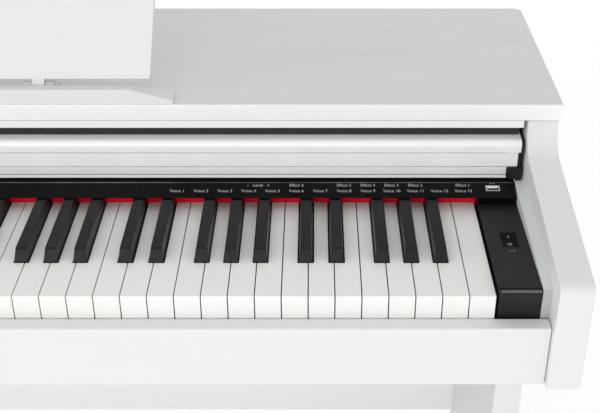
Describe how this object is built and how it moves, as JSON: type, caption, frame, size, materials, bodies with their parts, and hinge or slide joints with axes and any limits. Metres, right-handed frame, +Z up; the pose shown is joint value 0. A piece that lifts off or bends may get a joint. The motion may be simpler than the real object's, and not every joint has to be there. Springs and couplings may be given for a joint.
{
  "type": "digital piano on stand",
  "caption": "Full-length digital piano on a panel stand, with a sliding key lid, a folding music rest, hinged keys and sprung foot pedals.",
  "frame": {"origin": "centre of the bounding box's bottom face, on the floor", "axes": "+X to the player's right along the keyboard, +Y away from the player towards the back, +Z up"},
  "size_m": [1.384, 0.444, 1.0318],
  "materials": {
    "white_laminate": "satin white laminate foil on board, fine wood-grain emboss",
    "embossed_white_laminate": "satin white laminate with an embossed wood grain",
    "raw_board": "white-faced fibreboard",
    "black_gloss_plastic": "gloss black moulding with light grey printed legends",
    "red_felt": "needled felt",
    "black_satin_plastic": "satin black moulding",
    "grey_plastic_track": "pale grey plastic profile",
    "white_gloss_lid": "gloss white lacquer",
    "steel": "zinc-plated steel",
    "white_key_plastic": "semi-gloss ivory white moulding",
    "black_key_plastic": "fine matt black moulding",
    "circuit_board": "solder resist",
    "speaker_black": "black paper and plastic",
    "pedal_brass": "polished brass plate",
    "rubber_grey": "moulded rubber and plastic"
  },
  "bodies": {
    "piano": {"side_panel_left": "white_laminate", "side_panel_right": "white_laminate", "top_board": "embossed_white_laminate", "top_front_strip": "white_laminate", "back_board": "white_laminate", "keybed_board": "raw_board", "front_rail": "white_laminate", "fascia_panel": "black_gloss_plastic", "felt_strip": "red_felt", "end_block_left": "black_satin_plastic", "end_block_right": "black_satin_plastic", "lid_tracks": "grey_plastic_track", "key_chassis": "steel", "key_pivot_rod": "steel", "key_contact_board": "circuit_board", "main_board": "circuit_board", "speaker_drivers": "speaker_black", "speaker_grilles": "speaker_black", "usb_socket": "steel", "rear_jack_panel": "black_satin_plastic", "headphone_box": "black_satin_plastic", "stand_leg_left": "white_laminate", "stand_leg_right": "white_laminate", "foot_left": "white_laminate", "foot_right": "white_laminate", "modesty_panel": "white_laminate", "pedal_box": "white_laminate", "music_rest_base": "white_laminate", "music_rest_hinges": "steel", "stand_bolts": "steel", "floor_glides": "rubber_grey"},
    "lid": {"lid_panel": "white_gloss_lid", "lid_lip": "white_gloss_lid", "lid_sliders": "black_satin_plastic"},
    "lid_shaft": {"lid_shaft": "steel"},
    "music_rest": {"music_rest_panel": "white_laminate"},
    "white_keys_low": {"white_keys_low": "white_key_plastic"},
    "white_keys_high": {"white_keys_high": "white_key_plastic"},
    "black_keys_low": {"black_keys_low": "black_key_plastic"},
    "black_keys_high": {"black_keys_high": "black_key_plastic"},
    "key_c7": {"key_c7": "white_key_plastic"},
    "key_d7": {"key_d7": "white_key_plastic"},
    "key_e7": {"key_e7": "white_key_plastic"},
    "key_f7": {"key_f7": "white_key_plastic"},
    "key_g7": {"key_g7": "white_key_plastic"},
    "key_a7": {"key_a7": "white_key_plastic"},
    "key_b7": {"key_b7": "white_key_plastic"},
    "key_c8": {"key_c8": "white_key_plastic"},
    "key_c7_sharp": {"key_c7_sharp": "black_key_plastic"},
    "key_d7_sharp": {"key_d7_sharp": "black_key_plastic"},
    "key_f7_sharp": {"key_f7_sharp": "black_key_plastic"},
    "key_g7_sharp": {"key_g7_sharp": "black_key_plastic"},
    "key_a7_sharp": {"key_a7_sharp": "black_key_plastic"},
    "soft_pedal": {"soft_pedal": "pedal_brass"},
    "sostenuto_pedal": {"sostenuto_pedal": "pedal_brass"},
    "damper_pedal": {"damper_pedal": "pedal_brass"},
    "power_rocker": {"power_rocker": "black_satin_plastic"},
    "volume_knob": {"volume_knob": "black_satin_plastic"},
    "function_button": {"function_button": "black_satin_plastic"},
    "pedal_box_adjuster": {"pedal_box_adjuster": "rubber_grey"}
  },
  "joints": [
    {"name": "lid_slide", "type": "slide", "parent": "piano", "child": "lid", "axis": [0, -0.9971, -0.0767], "range_m": [0, 0.178]},
    {"name": "lid_shaft_spin", "type": "hinge", "parent": "lid", "child": "lid_shaft", "pos_m": [0, 0.173, 0.77816], "axis": [1, 0, 0], "range_deg": [0, 900]},
    {"name": "key_c7_press", "type": "hinge", "parent": "piano", "child": "key_c7", "pos_m": [0, 0.016, 0.722], "axis": [1, 0, 0], "range_deg": [0, 2.6], "stiffness_Nm_per_rad": 0.5, "springref_deg": -28.65},
    {"name": "key_d7_press", "type": "hinge", "parent": "piano", "child": "key_d7", "pos_m": [0, 0.016, 0.722], "axis": [1, 0, 0], "range_deg": [0, 2.6], "stiffness_Nm_per_rad": 0.5, "springref_deg": -28.65},
    {"name": "key_e7_press", "type": "hinge", "parent": "piano", "child": "key_e7", "pos_m": [0, 0.016, 0.722], "axis": [1, 0, 0], "range_deg": [0, 2.6], "stiffness_Nm_per_rad": 0.5, "springref_deg": -28.65},
    {"name": "key_f7_press", "type": "hinge", "parent": "piano", "child": "key_f7", "pos_m": [0, 0.016, 0.722], "axis": [1, 0, 0], "range_deg": [0, 2.6], "stiffness_Nm_per_rad": 0.5, "springref_deg": -28.65},
    {"name": "key_g7_press", "type": "hinge", "parent": "piano", "child": "key_g7", "pos_m": [0, 0.016, 0.722], "axis": [1, 0, 0], "range_deg": [0, 2.6], "stiffness_Nm_per_rad": 0.5, "springref_deg": -28.65},
    {"name": "key_a7_press", "type": "hinge", "parent": "piano", "child": "key_a7", "pos_m": [0, 0.016, 0.722], "axis": [1, 0, 0], "range_deg": [0, 2.6], "stiffness_Nm_per_rad": 0.5, "springref_deg": -28.65},
    {"name": "key_b7_press", "type": "hinge", "parent": "piano", "child": "key_b7", "pos_m": [0, 0.016, 0.722], "axis": [1, 0, 0], "range_deg": [0, 2.6], "stiffness_Nm_per_rad": 0.5, "springref_deg": -28.65},
    {"name": "key_c8_press", "type": "hinge", "parent": "piano", "child": "key_c8", "pos_m": [0, 0.016, 0.722], "axis": [1, 0, 0], "range_deg": [0, 2.6], "stiffness_Nm_per_rad": 0.5, "springref_deg": -28.65},
    {"name": "key_c7_sharp_press", "type": "hinge", "parent": "piano", "child": "key_c7_sharp", "pos_m": [0, 0.016, 0.722], "axis": [1, 0, 0], "range_deg": [0, 3.1], "stiffness_Nm_per_rad": 0.35, "springref_deg": -28.65},
    {"name": "key_d7_sharp_press", "type": "hinge", "parent": "piano", "child": "key_d7_sharp", "pos_m": [0, 0.016, 0.722], "axis": [1, 0, 0], "range_deg": [0, 3.1], "stiffness_Nm_per_rad": 0.35, "springref_deg": -28.65},
    {"name": "key_f7_sharp_press", "type": "hinge", "parent": "piano", "child": "key_f7_sharp", "pos_m": [0, 0.016, 0.722], "axis": [1, 0, 0], "range_deg": [0, 3.1], "stiffness_Nm_per_rad": 0.35, "springref_deg": -28.65},
    {"name": "key_g7_sharp_press", "type": "hinge", "parent": "piano", "child": "key_g7_sharp", "pos_m": [0, 0.016, 0.722], "axis": [1, 0, 0], "range_deg": [0, 3.1], "stiffness_Nm_per_rad": 0.35, "springref_deg": -28.65},
    {"name": "key_a7_sharp_press", "type": "hinge", "parent": "piano", "child": "key_a7_sharp", "pos_m": [0, 0.016, 0.722], "axis": [1, 0, 0], "range_deg": [0, 3.1], "stiffness_Nm_per_rad": 0.35, "springref_deg": -28.65},
    {"name": "white_keys_low_press", "type": "hinge", "parent": "piano", "child": "white_keys_low", "pos_m": [0, 0.016, 0.722], "axis": [1, 0, 0], "range_deg": [0, 2.6], "stiffness_Nm_per_rad": 11.5, "springref_deg": -28.65},
    {"name": "white_keys_high_press", "type": "hinge", "parent": "piano", "child": "white_keys_high", "pos_m": [0, 0.016, 0.722], "axis": [1, 0, 0], "range_deg": [0, 2.6], "stiffness_Nm_per_rad": 10.5, "springref_deg": -28.65},
    {"name": "black_keys_low_press", "type": "hinge", "parent": "piano", "child": "black_keys_low", "pos_m": [0, 0.016, 0.722], "axis": [1, 0, 0], "range_deg": [0, 3.1], "stiffness_Nm_per_rad": 5.6, "springref_deg": -28.65},
    {"name": "black_keys_high_press", "type": "hinge", "parent": "piano", "child": "black_keys_high", "pos_m": [0, 0.016, 0.722], "axis": [1, 0, 0], "range_deg": [0, 3.1], "stiffness_Nm_per_rad": 5.3, "springref_deg": -28.65},
    {"name": "music_rest_fold", "type": "hinge", "parent": "piano", "child": "music_rest", "pos_m": [0, -0.009, 0.84], "axis": [-1, 0, 0], "range_deg": [0, 70]},
    {"name": "soft_pedal_press", "type": "hinge", "parent": "piano", "child": "soft_pedal", "pos_m": [0, 0.101, 0.062], "axis": [1, 0, 0], "range_deg": [0, 6], "stiffness_Nm_per_rad": 8, "springref_deg": -17.19},
    {"name": "sostenuto_pedal_press", "type": "hinge", "parent": "piano", "child": "sostenuto_pedal", "pos_m": [0, 0.101, 0.062], "axis": [1, 0, 0], "range_deg": [0, 6], "stiffness_Nm_per_rad": 8, "springref_deg": -17.19},
    {"name": "damper_pedal_press", "type": "hinge", "parent": "piano", "child": "damper_pedal", "pos_m": [0, 0.101, 0.062], "axis": [1, 0, 0], "range_deg": [0, 6], "stiffness_Nm_per_rad": 8, "springref_deg": -17.19},
    {"name": "power_rocker_switch", "type": "hinge", "parent": "piano", "child": "power_rocker", "pos_m": [0.6335, -0.122, 0.73], "axis": [-1, 0, 0], "range_deg": [0, 16]},
    {"name": "volume_knob_turn", "type": "hinge", "parent": "piano", "child": "volume_knob", "pos_m": [-0.6335, -0.139, 0.7357], "axis": [0, 0, -1], "range_deg": [-140, 140]},
    {"name": "function_button_press", "type": "slide", "parent": "piano", "child": "function_button", "axis": [0, 0, -1], "range_m": [0, 0.0015], "stiffness_N_per_m": 300, "springref_m": -0.003},
    {"name": "pedal_box_adjuster_screw", "type": "slide", "parent": "piano", "child": "pedal_box_adjuster", "axis": [0, 0, 1], "range_m": [0, 0.01]}
  ],
  "couplings": [
    {"joint": "lid_shaft_spin", "follows": "lid_slide", "rad_per_m": 86.957}
  ]
}
